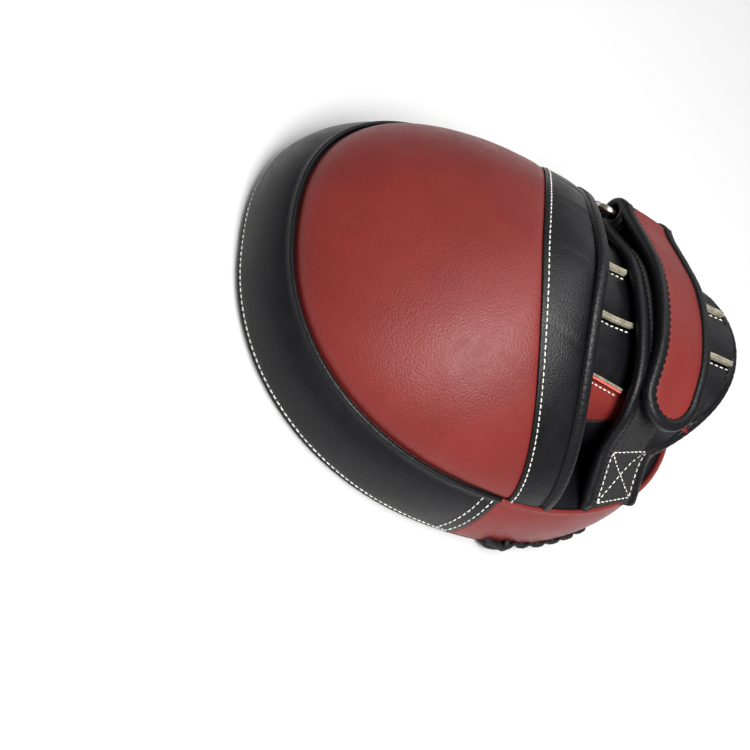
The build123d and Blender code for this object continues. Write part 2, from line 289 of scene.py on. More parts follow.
def walk(points, count):
    """Points an even walk apart along a line."""
    points = np.asarray(points, float)
    walked = np.concatenate([[0], np.cumsum(np.linalg.norm(np.diff(points, axis=0), axis=1))])
    at = np.linspace(0, walked[-1], count)
    return np.stack([np.interp(at, walked, points[:, k]) for k in range(points.shape[1])], axis=1)


def snap(piece, path, normals):
    """Moves points along their normals on to the piece's outer face."""
    sheet = piece.data
    tree = BVHTree.FromPolygons([v.co / mm for v in sheet.vertices], [f.vertices[:] for f in sheet.polygons])
    moved = []
    for spot, up in zip(path, normals):
        hit = tree.ray_cast(Vector(spot + up * 9), Vector(-up), 18.0)[0]
        moved.append(spot if hit is None else np.array(hit))
    return np.array(moved)


def stitches(name, path, normals, body, material, pitch=stitch_pitch, on=None):
    """A row of stitches along a path, sunk a little into the piece that they are sewn on."""
    length, radius = stitch_length, thread
    path, normals = np.asarray(path, float), np.asarray(normals, float)
    if on:
        path = snap(on, path, normals)
    walked = np.concatenate([[0.0], np.cumsum(np.linalg.norm(np.diff(path, axis=0), axis=1))])
    size = walked[-1]
    count = max(int(size / pitch), 1)
    verts, faces = [], []
    for k in range(count):
        middle = (k + 0.5) / count * size
        stations = np.clip(np.linspace(middle - length / 2, middle + length / 2, 7), 0, size)
        spot = np.stack([np.interp(stations, walked, path[:, c]) for c in range(3)], 1)
        rise = np.stack([np.interp(stations, walked, normals[:, c]) for c in range(3)], 1)
        along = np.gradient(spot, axis=0)
        along /= np.linalg.norm(along, axis=1)[:, None] + 1e-9
        side = np.cross(along, rise)
        side /= np.linalg.norm(side, axis=1)[:, None] + 1e-9
        tilt = noise_seed.uniform(-0.12, 0.12)
        first = len(verts)
        for n in range(7):
            share = n / 3 - 1
            lift = radius * (0.5 - 0.85 * share**4)
            thick = radius * (1 - 0.55 * share**4)
            for a in range(6):
                angle = a * pi / 3
                across = cos(angle) * thick + tilt * share * length / 2
                verts.append(spot[n] + side[n] * across + rise[n] * (sin(angle) * thick * 0.8 + lift))
        for n in range(6):
            for a in range(6):
                here, after = first + n * 6 + a, first + n * 6 + (a + 1) % 6
                faces.append((here, after, after + 6, here + 6))
        faces.append(tuple(first + a for a in reversed(range(6))))
        faces.append(tuple(first + 36 + a for a in range(6)))
    piece = add_mesh(name, verts, faces)
    settle(piece, material, body, "black_leather")
    return piece


def wall_line(turns, level):
    """Points and outward normals along the side wall."""
    spots = wall_point(turns, level)
    ahead = wall_point(turns + 0.01, level) - spots
    above = wall_point(turns, level + 0.02) - spots
    normals = np.cross(ahead, above)
    return spots, normals / np.linalg.norm(normals, axis=1)[:, None]


edge_level = 0.13
rim = even_turns(join + 0.02, pi - join - 0.02, 600)
spots, normals = wall_line(rim, edge_level)
stitches("wall_edge_stitches", spots, normals, "root", white_thread)
for mark, offset in enumerate((9.4, 3.4)):
    ring_turn = turn_at(wall_join_y + offset)
    for side, turn in (("ring", ring_turn), ("strap", pi - ring_turn)):
        levels = np.linspace(0.1, 0.97, 60)
        spots = np.stack([wall_point(np.array([turn]), v)[0] for v in levels])
        normals = np.stack([wall_line(np.array([turn]), v)[1][0] for v in levels])
        stitches(f"wall_join_stitches_{side}_{mark + 1}", spots, normals, "root", white_thread)

# ---- The hood's red shell -----------------------------------------------------------------------
# A shaped panel of red-brown artificial leather over a foam dome. It is cut wide and sewn to the
# board's seam, so it swells just over the stitching and is drawn in along it.
hood_height = 77.5
hood_slope = -0.0738
hood_power = 1.44
colour_seam_y = 34.7
mouth_y = 5.5
binding_width = 7.0
arc_drop = 54.8
arc_reach = 98.0


def dome_rho(x, y, skin=0.0):
    """How far out a plan point lies on the dome: 0 at its crown, 1 at the seam."""
    long_way = half_length - seam_inset - skin
    wide_way = half_width - seam_inset - skin
    across = np.abs(x) / (wide_way * (1 + egg * y / half_length))
    return (across**roundness + (np.abs(y) / long_way) ** roundness) ** (1 / roundness)


def dome_z(x, y, skin=0.0):
    """Height of the dome over a plan point."""
    rho = np.clip(dome_rho(x, y, skin), 0, 1)
    tall = (hood_height - skin) * (1 + hood_slope * y / hood_height)
    return seam_z(y) + 0.25 + tall * (1 - rho**hood_power) ** (1 / hood_power)


def arc_y(x, crest_y):
    """Plan of the hood's cross seams: parabolas that fall back at the sides."""
    return crest_y - arc_drop * (x / arc_reach) ** 2


def arc_foot(crest_y, skin=0.0):
    """The x at which a cross seam meets the dome's edge."""
    fine = np.linspace(40, 99, 3000)
    return float(np.interp(1.0, dome_rho(fine, arc_y(fine, crest_y), skin), fine))


def arc_line(crest_y, count, skin=0.0):
    """Plan points of a cross seam from the strap side to the ring side."""
    foot = arc_foot(crest_y, skin)
    x = np.linspace(-foot, foot, 1500)
    line = np.stack([x, arc_y(x, crest_y), dome_z(x, arc_y(x, crest_y), skin)], axis=1)
    line = walk(line, count=count)
    line[:, 1] = arc_y(line[:, 0], crest_y)
    return line[:, :2]


def dome_normal(x, y, skin=0.0):
    """Outward normal of the dome."""
    e = 0.4
    shrink = 0.999
    x, y = x * shrink, y * shrink
    dx = (dome_z(x + e, y, skin) - dome_z(x - e, y, skin)) / (2 * e)
    dy = (dome_z(x, y + e, skin) - dome_z(x, y - e, skin)) / (2 * e)
    normal = np.stack([-dx, -dy, np.ones_like(dx)], axis=-1)
    return normal / np.linalg.norm(normal, axis=-1)[..., None]


def dome_point(x, y, lift=0.0, skin=0.0):
    """A point on the dome, lifted off it along its normal."""
    spot = np.stack([x, y, dome_z(x, y, skin)], axis=-1)
    lift = np.asarray(lift, float)
    return spot + dome_normal(x, y, skin) * (lift[..., None] if lift.ndim else lift)


def dome_patch(name, near, far, rows, puff, tuck_near, tuck_far, skin=0.0, ease=1.0):
    """A panel of the dome between two plan lines, puffed in its middle and tucked at its seams."""
    share = 0.5 - 0.5 * np.cos(np.linspace(0, 1, rows) * pi)
    share = share * ease + np.linspace(0, 1, rows) * (1 - ease)
    grid = []
    for v in share:
        x = near[:, 0] + (far[:, 0] - near[:, 0]) * v
        y = near[:, 1] + (far[:, 1] - near[:, 1]) * v
        reach_near = np.hypot(x - near[:, 0], y - near[:, 1])
        reach_far = np.hypot(x - far[:, 0], y - far[:, 1])
        tuck = tuck_near * np.exp(-reach_near / 2.4) + tuck_far * np.exp(-reach_far / 1.6)
        lift = puff * np.sin(pi * v) ** 0.5 - tuck
        lift = lift + 0.35 * ripple(x / 16, y / 16, 4) * np.sin(pi * v)
        grid.append(dome_point(x, y, lift, skin))
    return grid_mesh(name, np.stack(grid)[:, ::-1])




def rim_line(crest_y, count, skin=0.0):
    """Plan points along the dome's edge, over the fingertips, between a cross seam's two feet."""
    foot = arc_foot(crest_y, skin)
    back = turn_at(float(arc_y(foot, crest_y)))
    turns = even_turns(pi - back, back, count)
    x, y = outline(turns, seam_inset + skin)
    return np.stack([x, y], axis=1)


columns = 260
hood_near, hood_far = arc_line(colour_seam_y, columns), rim_line(colour_seam_y, columns)
hood = dome_patch("hood_shell_skin", hood_near, hood_far, 90, 0.7, 1.4, 1.9)
thicken(hood, 1.4)
settle(hood, red_leather, "root", "red_leather", "hood_shell")

# ---- The hood's black mouth band -----------------------------------------------------------------
# A strip of black artificial leather lapped over the red panel and top-stitched in white. It
# creases a little across its width, where the wearer's knuckles push the mouth open.
band_near = arc_line(mouth_y + binding_width, columns)
band_far = arc_line(colour_seam_y + 1.6, columns)
band = dome_patch("hood_band_skin", band_near, band_far, 34, 0.9, 0.8, -0.35, ease=0.4)
crease_places = ((18.0, 0.5), (26.0, 0.8), (-5.0, 0.35), (48.0, 0.6), (-40.0, 0.35))
for vertex in band.data.vertices:
    x, y = vertex.co.x / mm, vertex.co.y / mm
    back = y - arc_y(x, mouth_y + binding_width)
    fade = max(0.0, min(1.0, back / 3.0)) * max(0.0, 1 - back / 22.0)
    for place, depth in crease_places:
        beside = x - place - 0.3 * back
        dip = depth * np.exp(-((beside / 1.8) ** 2))
        rise = depth * np.exp(-(((beside - 3.4) / 2.6) ** 2))
        vertex.co.z += (0.6 * rise - dip) * fade * mm
thicken(band, 1.4)
settle(band, black_leather, "root", "black_leather", "hood_band")

line = arc_line(colour_seam_y - 0.9, 700)
spots = dome_point(line[:, 0], line[:, 1], 0.75)
stitches("hood_band_stitches", spots, dome_normal(line[:, 0], line[:, 1]), "root", white_thread, on=band)

# ---- The hood's rolled binding -------------------------------------------------------------------
# A padded strip of black leather folded over the mouth's raw edge, lining included, and sewn
# through with black thread. It puckers between the stitches.
roll_inside = 10.9


def roll(name, centres, ups, sides, half_wide, half_deep, squareness=2.6, pucker=0.12, pitch=3.6, caps=True):
    """A padded roll: a rounded section swept along a line, with fine puckers from its stitching."""
    around = np.linspace(0, 2 * pi, 26, endpoint=False)
    wide = np.abs(np.cos(around)) ** (2 / squareness) * np.sign(np.cos(around))
    deep = np.abs(np.sin(around)) ** (2 / squareness) * np.sign(np.sin(around))
    walked = np.concatenate([[0], np.cumsum(np.linalg.norm(np.diff(centres, axis=0), axis=1))])
    swell = 1 + pucker * (np.abs(np.sin(walked * pi / pitch)) - 0.6) * 0.5
    swell = swell + 0.02 * ripple(walked / 9, walked / 23, 4)
    half_wide = half_wide * np.ones(len(centres))
    half_deep = half_deep * np.ones(len(centres))
    grid = (
        centres[:, None]
        + sides[:, None] * (wide[None, :, None] * (half_wide * (0.5 + 0.5 * swell))[:, None, None])
        + ups[:, None] * (deep[None, :, None] * (half_deep * swell)[:, None, None])
    )
    rows, cols = grid.shape[:2]
    faces = []
    for i in range(rows - 1):
        for j in range(cols):
            k = (j + 1) % cols
            faces.append((i * cols + j, (i + 1) * cols + j, (i + 1) * cols + k, i * cols + k))
    if caps:
        faces.append(tuple(range(cols)))
        faces.append(tuple((rows - 1) * cols + j for j in reversed(range(cols))))
    return add_mesh(name, grid.reshape(-1, 3), faces)


def unit(vectors):
    """Vectors at length one."""
    return vectors / (np.linalg.norm(vectors, axis=-1)[..., None] + 1e-12)


line = arc_line(mouth_y + binding_width / 2, 900)
ups = dome_normal(line[:, 0], line[:, 1])
spots = dome_point(line[:, 0], line[:, 1], -roll_inside / 2 + 0.6)
sides = unit(np.cross(unit(np.gradient(spots, axis=0)), ups))
half_wide, half_deep = binding_width / 2 + 0.3, roll_inside / 2 + 0.5
binding = roll("hood_binding_roll", spots, ups, sides, half_wide, half_deep, 2.9, 0.03)
settle(binding, black_leather, "root", "black_leather", "hood_binding")
line = arc_line(mouth_y + binding_width - 1.1, 900)
spots = dome_point(line[:, 0], line[:, 1], 0.35)
ups = dome_normal(line[:, 0], line[:, 1])
stitches("hood_binding_stitches", spots, ups, "root", black_thread, on=binding)

# ---- The hood's lining ---------------------------------------------------------------------------
# Black knitted lining glued to the underside of the foam. It is what the fingertips touch, and
# the foam itself never shows, so one lining piece closes the dome from inside.


def knit(name, dark, light, rib_mm):
    """Knitted polyester lining: tiny interlocked loops in ribs, matt, catching fluff."""
    material, tree, place = new_material(name)
    wales = {"Scale": 0.16 / (rib_mm * mm), "Distortion": 0.6}
    ribs = add_node(tree, "ShaderNodeTexWave", wales, Vector=place)
    loops = add_node(tree, "ShaderNodeTexVoronoi", {"Scale": 1 / (rib_mm * 0.8 * mm)}, Vector=place)
    fluff = add_node(tree, "ShaderNodeTexNoise", {"Scale": 1 / (5 * mm), "Detail": 7.0}, Vector=place)
    colour = two_tone(tree, fluff.outputs["Fac"], dark, light, 0.0, 1.0)
    first = add_node(tree, "ShaderNodeBump", {"Strength": 0.5, "Distance": 0.3 * mm},
                     Height=ribs.outputs["Fac"])
    second = add_node(tree, "ShaderNodeBump", {"Strength": 0.5, "Distance": 0.2 * mm, "invert": True},
                      Height=loops.outputs["Distance"], Normal=first.outputs[0])
    dull = {"Roughness": 0.9, "Sheen Weight": 0.3, "Sheen Roughness": 0.6}
    skin = add_node(tree, "ShaderNodeBsdfPrincipled", dull,
                    Base_Color=colour, Normal=second.outputs[0])
    add_node(tree, "ShaderNodeOutputMaterial", Surface=skin.outputs[0])
    return material


lining_cloth = knit("black_knitted_lining", "#0d0d0f", "#232326", 1.2)
lining_depth = roll_inside - 1.4
near, far = arc_line(mouth_y + 3, 160, lining_depth), rim_line(mouth_y + 3, 160, lining_depth)
lining = dome_patch("hood_lining_skin", near, far, 50, 0.0, 0.0, 0.0, skin=lining_depth)
thicken(lining, 1.2)
settle(lining, lining_cloth, "root", "lining", "hood_lining", "hood_foam")

# ---- The back panel --------------------------------------------------------------------------------
# Black artificial leather over the soft core: the face that the palm rests on. It shows as a
# crescent round the cuff, lightly crowned by the foam, and its raw edge is caught in the seam.
rings = np.concatenate([np.linspace(0.04, 0.9, 34), np.linspace(0.91, 1.0, 14)])
turns = np.linspace(0, 2 * pi, 200, endpoint=False)
grid = []
for share in rings:
    x, y = outline(turns, seam_inset)
    x, y = x * share, y * share
    crown = 1.1 * np.clip(1 - share, 0, 1) ** 0.35 - 1.7 * np.exp(-(1 - share) * 110 / 1.8)
    wave = 0.5 * ripple(x / 15, y / 15, 5) * np.clip((1 - share) * 8, 0, 1)
    grid.append(np.stack([x, y, seam_z(y) + 0.1 + crown + wave * 0.5], axis=1))
back_skin = grid_mesh("back_panel_skin", np.stack(grid)[:, ::-1], loop_columns=True)
thicken(back_skin, 1.4)
settle(back_skin, black_leather, "root", "black_leather", "back_panel", "board_core")

# ---- The glove back's five panels ------------------------------------------------------------------
# Two red side panels and three black ones, sewn edge to edge over thin foam. Each panel puffs
# between its seams, and the strap holds the whole back down across its middle.
glove_x = 4.0
glove_power = 2.2
glove_stations = np.array([(36.0, 52.0, 82.0), (0.0, 56.0, 87.0), (-56.0, 54.0, 91.5), (-112.0, 57.0, 99.0)])
half_fit = np.polyfit(glove_stations[:, 0], glove_stations[:, 1], 3)
crest_fit = np.polyfit(glove_stations[:, 0], glove_stations[:, 2], 3)
seam_ends = ((-34.0, -36.0), (-8.0, -2.5), (20.5, 26.0), (50.0, 51.5))    # near the fingers, at the cuff
strap_y = -57.0
cuff_crest_y = -107.0


def cuff_y(x):
    """Plan of the cuff's edge: it is cut back at the sides, more so away from the ring."""
    return cuff_crest_y + np.where(x < 9, 0.0086, 0.0068) * (x - 9.0) ** 2


def seam_x(number, y):
    """Where a panel seam passes y: the seams lean towards the ring on their way to the cuff."""
    front, back = seam_ends[number]
    return front + (back - front) * np.clip((-y - 25) / 60, 0, 1)


def glove_point(turn, y, skin=0.0):
    """A point of the glove back; turn is 0 on the ring side and pi on the strap side."""
    half, crest = np.polyval(half_fit, y) - skin, np.polyval(crest_fit, y) - skin
    foot = seam_z(y) + 0.3
    across = np.abs(np.cos(turn)) ** (2 / glove_power) * np.sign(np.cos(turn))
    rise = np.clip(np.sin(turn), 0, 1) ** (2 / glove_power)
    return np.stack(np.broadcast_arrays(glove_x + half * across, y, foot + (crest - foot) * rise), axis=-1)


def glove_turn(x, y):
    """The angle at which the glove back passes x."""
    share = np.clip((x - glove_x) / np.polyval(half_fit, y), -1, 1)
    return np.arccos(np.abs(share) ** (glove_power / 2) * np.sign(share))


def glove_normal(turn, y):
    """Outward normal of the glove back."""
    around = glove_point(turn + 0.01, y) - glove_point(turn - 0.01, y)
    along = glove_point(turn, y + 0.5) - glove_point(turn, y - 0.5)
    return unit(np.cross(along, around))


def strap_press(y):
    """1 under the strap, falling to 0 beside it."""
    return np.exp(-(((y - strap_y) / 26.0) ** 4))


def seam_turn(number, y):
    """The angle of a panel's edge at y. Past the outer seams come the side panels' lower edges
    and the glove's foot on the board."""
    if number in (-2, 5):
        return y * 0 + (pi if number < 0 else 0.0)
    if number in (-1, 4):
        low = 0.40 + (0.36 if number < 0 else 0.12) * np.clip((-y - 35) / 45, 0, 1)
        return pi - low if number < 0 else low
    return glove_turn(seam_x(number, y), y)


def panel_puff(low, high, y, share):
    """How far a panel stands off the glove's own surface, at a share of its width."""
    outer = low < 0 or high > 3
    return (4.6 if outer else 2.3) * np.sin(pi * share) ** 0.6 * (1 - 0.8 * strap_press(y)) - 0.3


def panel_skin(name, low, high):
    """One puffed panel of the glove back, between two of its seams."""
    share = np.linspace(0, 1, 30)
    grid = []
    for v in np.linspace(0, 1, 80):
        y = np.full(30, 34 + (cuff_crest_y - 34) * v)
        for _ in range(8):
            turn = seam_turn(low, y) * (1 - share) + seam_turn(high, y) * share
            x = glove_point(turn, y)[..., 0]
            y = 34 + (cuff_y(x) - 34) * v
        spot = glove_point(turn, y)
        edge = np.minimum(np.abs(y - (strap_y + 24)), np.abs(y - (strap_y - 22)))
        fold = 0.8 * ripple(x / 7, y / 16, 4) * np.exp(-((edge / 12) ** 2)) + 0.35 * ripple(x / 9, y / 9, 5)
        lift = panel_puff(low, high, y, share) + fold * np.sin(pi * share)
        grid.append(spot + glove_normal(turn, y) * lift[:, None])
    piece = grid_mesh(name, np.stack(grid))
    thicken(piece, 1.3)
    return piece


panel_nodes = (
    "glove_side_strap", "glove_back_strap", "glove_back_middle", "glove_back_ring", "glove_side_ring",
)
panels = []
for number, node in enumerate(panel_nodes):
    paint, finish = (red_leather, "red_leather") if "side" in node else (black_leather, "black_leather")
    skin = panel_skin(node + "_skin", number - 1, number)
    settle(skin, paint, "root", finish, node)
    panels.append(skin)
for node, low in (("glove_side_strap", -2), ("glove_side_ring", 4)):
    gusset = panel_skin(node + "_gusset", low, low + 1)
    settle(gusset, black_leather, "root", "black_leather", node)

# ---- Raw seam edges of the glove back -----------------------------------------------------------------
# The panels are joined with their cut edges outside, so each seam shows the grey-khaki backing
# of the leather as a flat rib, with a white row beside it. The strap hides them where it crosses.


def backing(name, dark, light):
    """Cut edge of coated fabric: pale fibres pressed together, frayed and uneven."""
    material, tree, place = new_material(name)
    fibres = {"Scale": 1 / (0.7 * mm), "Detail": 8.0, "Roughness": 0.75}
    fibre = add_node(tree, "ShaderNodeTexNoise", fibres, Vector=place)
    blotch = add_node(tree, "ShaderNodeTexNoise", {"Scale": 1 / (4 * mm), "Detail": 3.0}, Vector=place)
    colour = two_tone(tree, blotch.outputs["Fac"], dark, light, 0.3, 0.65)
    bump = add_node(tree, "ShaderNodeBump", {"Strength": 0.8, "Distance": 0.3 * mm},
                    Height=fibre.outputs["Fac"])
    skin = add_node(tree, "ShaderNodeBsdfPrincipled", {"Roughness": 0.92, "Sheen Weight": 0.2},
                    Base_Color=colour, Normal=bump.outputs[0])
    add_node(tree, "ShaderNodeOutputMaterial", Surface=skin.outputs[0])
    return material


grey_edge = backing("grey_backing_edge", "#6b6655", "#9a937d")
red_edge = backing("red_backing_edge", "#b8453f", "#e0685c")


def seam_run(number, front, back, shift, lift, count=120):
    """Points and normals beside a panel seam, shift mm across it."""
    y = np.linspace(front, back, count)
    turn = seam_turn(number, y)
    reach = np.linalg.norm(glove_point(turn + 0.01, y) - glove_point(turn - 0.01, y), axis=-1) / 0.02
    turn = turn - shift / reach
    normal = glove_normal(turn, y)
    return glove_point(turn, y) + normal * lift, normal


def raw_edge(name, number, front, back, red_ply):
    """The two plies of a seam's raw edge, a little frayed; red_ply says which one is red."""
    for ply, shift in enumerate((0.55, 1.75)):
        spots, normal = seam_run(number, front, back, shift, 1.7 + 0.25 * ply)
        frayed = 0.25 * ripple(np.arange(120) / 9 + ply, np.full(120, number * 7.0), 4)
        spots = spots + normal * frayed[:, None]
        side = unit(np.cross(unit(np.gradient(spots, axis=0)), normal))
        strip = roll(f"{name}_{ply + 1}", spots, normal, side, 0.62, 1.3, 5.0, 0.05, 2.3)
        settle(strip, red_edge if ply == red_ply else grey_edge, "root", "raw_edge", "glove_seam_edges")


rib_front_ends = (-42.0, -37.0, -34.0, -34.0)    # each rib goes under the strap here
rib_cuff_gaps = (10.0, 2.0, 2.0, 2.0)            # from the cuff's edge to each rib's end
for number in range(4):
    cuff_end = float(cuff_y(seam_ends[number][1])) + rib_cuff_gaps[number]
    for part, front, back in (("front", 9.0, rib_front_ends[number]), ("cuff", -77.0, cuff_end)):
        raw_edge(f"glove_seam_edge_{number + 1}_{part}", number, front, back, {0: 0, 3: 1}.get(number))
        spots, normal = seam_run(number, front, back, -2.0, 1.1, 400)
        stitches(f"glove_seam_stitches_{number + 1}_{part}", spots, normal, "root", white_thread, pitch=3.2,
                 on=panels[number])
for number, side_name in ((-1, "strap"), (4, "ring")):
    raw_edge(f"glove_gusset_edge_{side_name}", number, 9.0, -34.0, 0 if number < 0 else 1)

for row, start in enumerate((-7.5, -13.0)):
    for number, skin in enumerate(panels):
        low, high = (float(seam_turn(edge, np.array(start))) for edge in (number - 1, number))
        turn = np.linspace(low, high, 160)[12:-12]
        y = start - 0.0048 * (glove_point(turn, np.full(len(turn), start))[:, 0] - 5) ** 2
        name = f"glove_cross_stitches_{row + 1}_{number + 1}"
        stitches(name, glove_point(turn, y), glove_normal(turn, y), "root", white_thread, on=skin)

# ---- The cuff's binding and the pocket's lining -----------------------------------------------------------
# A folded strip of black leather closes the cuff's layers and is sewn through in black. Inside,
# the same knitted lining runs from the cuff to the fingers.
pocket_skin = 8.8
turn = np.linspace(0.0, pi, 700)
y = np.full(700, cuff_crest_y)
for _ in range(8):
    y = cuff_y(glove_point(turn, y, pocket_skin / 2)[..., 0])
spots = walk(glove_point(turn, y, pocket_skin / 2 - 0.4), 700)
ups = glove_normal(turn, y)
sides = unit(np.cross(unit(np.gradient(spots, axis=0)), ups))
cuff = roll("glove_cuff_roll", spots, ups, sides, 3.6, pocket_skin / 2 + 0.9, 3.0, 0.05)
settle(cuff, black_leather, "root", "black_leather", "glove_cuff_binding")
shift_y = y + 2.6
spots = glove_point(turn, shift_y) + glove_normal(turn, shift_y) * 1.25
stitches("glove_cuff_stitches", spots, glove_normal(turn, shift_y), "root", black_thread, pitch=3.6)

grid = []
turn = np.linspace(0, pi, 70)
for v in np.linspace(0, 1, 60):
    y = np.full(70, 33.0)
    for _ in range(6):
        x = glove_point(turn, y, pocket_skin)[..., 0]
        y = 33.0 + (cuff_y(x) - 33.0) * v
    grid.append(glove_point(turn, y, pocket_skin))
pocket = grid_mesh("glove_lining_skin", np.stack(grid)[:, ::-1])
thicken(pocket, 1.0)
settle(pocket, lining_cloth, "root", "lining", "glove_lining", "glove_padding")

# ---- Palm cushion and finger bar ------------------------------------------------------------------------
# Inside the pocket the palm closes on a low leather dome and the fingers on a padded bar, so the
# hand can grip the board. Both are stuffed leather.
cushion_x, cushion_y, cushion_a, cushion_b, cushion_rise = glove_x, -50.0, 33.0, 42.0, 11.0
grid = []
around = np.linspace(0, 2 * pi, 90, endpoint=False)
for share in np.concatenate([np.linspace(0.002, 0.8, 22), np.linspace(0.83, 1, 12)]):
    x, y = cushion_x + cushion_a * share * np.cos(around), cushion_y + cushion_b * share * np.sin(around)
    high = cushion_rise * (1 - share**2.6) ** 0.62 + 0.3 * ripple(x / 8, y / 8, 4) * (1 - share)
    grid.append(np.stack([x, y, seam_z(y) + 0.9 + high], axis=1))
cushion = grid_mesh("palm_cushion_skin", np.stack(grid)[:, ::-1], loop_columns=True)
thicken(cushion, 1.3)
settle(cushion, black_leather, "root", "black_leather", "palm_cushion")

bar_y, bar_radius, bar_half = 20.0, 8.0, 38.0
x = np.linspace(-bar_half, bar_half, 160)
fat = bar_radius * (1 - (np.abs(x) / bar_half) ** 7 * 0.75) * (1 + 0.02 * ripple(x / 7, x / 19, 4)) * 0.98
spots = np.stack([glove_x + x, np.full(160, bar_y), np.full(160, seam_z(bar_y) + bar_radius + 1.0)], axis=1)
upward, across = np.tile([0.0, 0, 1], (160, 1)), np.tile([0.0, 1, 0], (160, 1))
finger_bar = roll("finger_bar_skin", spots, upward, across, fat, fat, 2.0, 0.0)
settle(finger_bar, black_leather, "root", "black_leather", "finger_bar")

# ---- The sewn half of the strap -----------------------------------------------------------------------
# A leather strap sewn to the board's edge opposite the ring. Its middle is faced with loop tape
# between two padded rolls, and a boxed cross of white stitches anchors it.


def smooth_line(points, count=400):
    """A smooth line through points (Catmull-Rom), walked evenly."""
    p = np.asarray(points, float)
    p = np.vstack([2 * p[0] - p[1], p, 2 * p[-1] - p[-2]])
    out = []
    for i in range(1, len(p) - 2):
        t = np.linspace(0, 1, 40, endpoint=i == len(p) - 3)[:, None]
        out.append(
            0.5 * (2 * p[i] + (p[i + 1] - p[i - 1]) * t
                   + (2 * p[i - 1] - 5 * p[i] + 4 * p[i + 1] - p[i + 2]) * t**2
                   + (3 * p[i] - p[i - 1] - 3 * p[i + 1] + p[i + 2]) * t**3)
        )
    return walk(np.vstack(out), count)


class Ribbon:
    """A strap's middle surface: s runs along it in mm, w across it, lift stands off it."""

    def __init__(self, points):
        self.line = smooth_line(points)
        self.size = np.linalg.norm(np.diff(self.line, axis=0), axis=1).sum()
        along = unit(np.gradient(self.line, axis=0))
        flat = unit(along * [1, 1, 0])
        self.side = np.stack([-flat[:, 1], flat[:, 0], flat[:, 2] * 0], axis=1)
        self.up = unit(np.cross(along, self.side))

    def at(self, values, s):
        """Interpolates one of the ribbon's lines at s."""
        where = np.clip(np.asarray(s, float) / self.size, 0, 1) * (len(values) - 1)
        return np.stack([np.interp(where, np.arange(len(values)), values[:, k]) for k in range(3)], axis=-1)

    def point(self, s, w, lift):
        """A point of the strap, its normal and its cross direction."""
        up, side = unit(self.at(self.up, s)), unit(self.at(self.side, s))
        w, lift = np.asarray(w, float)[..., None], np.asarray(lift, float)[..., None]
        return self.at(self.line, s) + side * w + up * lift, up, side


def band_piece(name, ribbon, s, w, lift, half_wide, half_deep, squareness, pucker=0.0, pitch=3.6):
    """A flat or rolled piece that follows a line (s, w) on a ribbon."""
    s, w = np.asarray(s, float), np.asarray(w, float) * np.ones(len(s))
    spots, up, _ = ribbon.point(s, w, np.full(len(s), lift))
    side = unit(np.cross(unit(np.gradient(spots, axis=0)), up))
    return roll(name, spots, up, side, half_wide, half_deep, squareness, pucker, pitch)


def ribbon_stitches(name, ribbon, s, w, lift, body, thread_kind, pitch=stitch_pitch):
    """A row of stitches along a line (s, w) on a ribbon."""
    s, w = np.asarray(s, float), np.asarray(w, float) * np.ones(len(s))
    spots, up, _ = ribbon.point(s, w, np.full(len(s), lift))
    stitches(name, spots, up, body, thread_kind, pitch=pitch)


base_roll = 7.0
base = Ribbon([
    (60.5, -55.5, 71.3), (53.0, -55.5, 75.4), (43.5, -55.5, 82.0), (29.0, -55.5, 90.4),
    (11.6, -56.0, 94.6), (-8.0, -57.2, 95.6), (-24.0, -59.5, 92.4), (-35.5, -62.3, 84.0),
    (-44.6, -65.6, 71.0), (-53.5, -69.0, 58.6), (-63.5, -73.8, 48.8), (-68.5, -76.2, 44.4),
    (-70.8, -77.2, 41.0),
])
s = np.linspace(0, base.size, 300)
webbing = band_piece("strap_base_web", base, s, 0, 0, 17.0, 1.7, 9.0)
settle(webbing, black_leather, "root", "black_leather", "strap_base")


def loop_pile(name, dark, light):
    """Loop tape: a dense nap of fine nylon loops, dull black, with pale specks painted in as highlights where
    light glints on the loops.
    """
    material, tree, place = new_material(name)
    nap = {"Scale": 1 / (0.9 * mm), "Detail": 8.0, "Roughness": 0.8}
    pile = add_node(tree, "ShaderNodeTexNoise", nap, Vector=place)
    tufts = add_node(tree, "ShaderNodeTexVoronoi", {"Scale": 1 / (1.1 * mm)}, Vector=place)
    # Painted highlight: the pale end of this ramp puts specks of light glinting on the loops into the colour.
    colour = two_tone(tree, pile.outputs["Fac"], dark, light, 0.52, 0.78)
    first = add_node(tree, "ShaderNodeBump", {"Strength": 1.0, "Distance": 0.8 * mm},
                     Height=pile.outputs["Fac"])
    second = add_node(tree, "ShaderNodeBump", {"Strength": 0.6, "Distance": 0.5 * mm},
                      Height=tufts.outputs["Distance"], Normal=first.outputs[0])
    dull = {"Roughness": 0.97, "Sheen Weight": 0.05, "Sheen Roughness": 0.7}
    skin = add_node(tree, "ShaderNodeBsdfPrincipled", dull, Base_Color=colour, Normal=second.outputs[0])
    add_node(tree, "ShaderNodeOutputMaterial", Surface=skin.outputs[0])
    return material


# The second colour is the painted highlight of light glinting on the loops.
tape_pile = loop_pile("black_loop_tape", "#040405", "#4c4c50")


def pile_piece(name, ribbon, s_low, s_high, half, lift, height, body, node, under=False):
    """Tape with a real nap: its face is displaced into small tufts."""
    s = np.arange(s_low, s_high, 0.5)
    w = np.arange(-half, half + 0.1, 0.5)
    face = -1 if under else 1
    nap = noise_seed.uniform(0, 1, (len(s), len(w))) ** 2 * height
    grid = []
    for i, at in enumerate(s):
        spots, up, _ = ribbon.point(np.full(len(w), at), w, lift + face * nap[i])
        grid.append(spots)
    grid = np.stack(grid)
    piece = grid_mesh(name, grid if under else grid[::-1])
    thicken(piece, 0.7, (0, 0, 300) if under else (0, 0, 20))
    settle(piece, tape_pile, body, "tape", node)
    return piece


